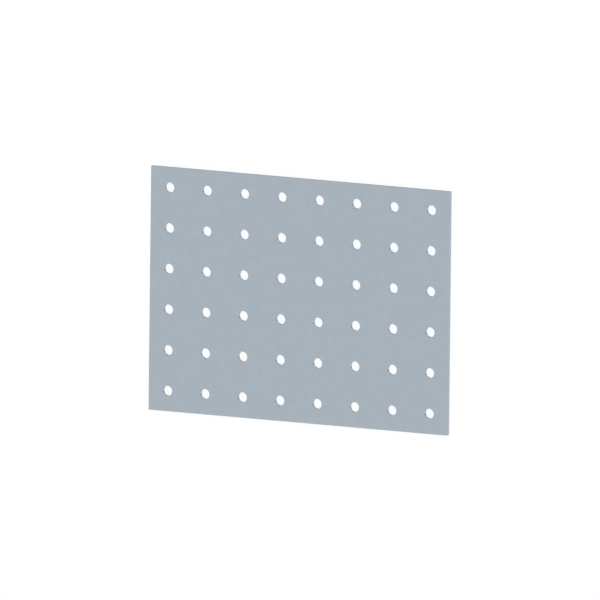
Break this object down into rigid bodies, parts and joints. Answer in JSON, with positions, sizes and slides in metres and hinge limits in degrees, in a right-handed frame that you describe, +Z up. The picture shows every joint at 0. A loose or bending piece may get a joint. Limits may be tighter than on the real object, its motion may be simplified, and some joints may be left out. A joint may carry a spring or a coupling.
{
  "type": "connector plate",
  "caption": "Flat rectangular connector plate of zinc-coated sheet steel with a square raster of round nail holes, nailed over a timber joint to tie the pieces together.",
  "frame": {"origin": "middle of the plate on its underside, where it lies on the floor", "axes": "+X along the plate's length, +Y across its width, +Z up through the sheet"},
  "size_m": [0.16, 0.12, 0.002],
  "materials": {
    "zinc_coated_steel": "satin"
  },
  "bodies": {
    "root": {"plate": "zinc_coated_steel"}
  },
  "joints": []
}
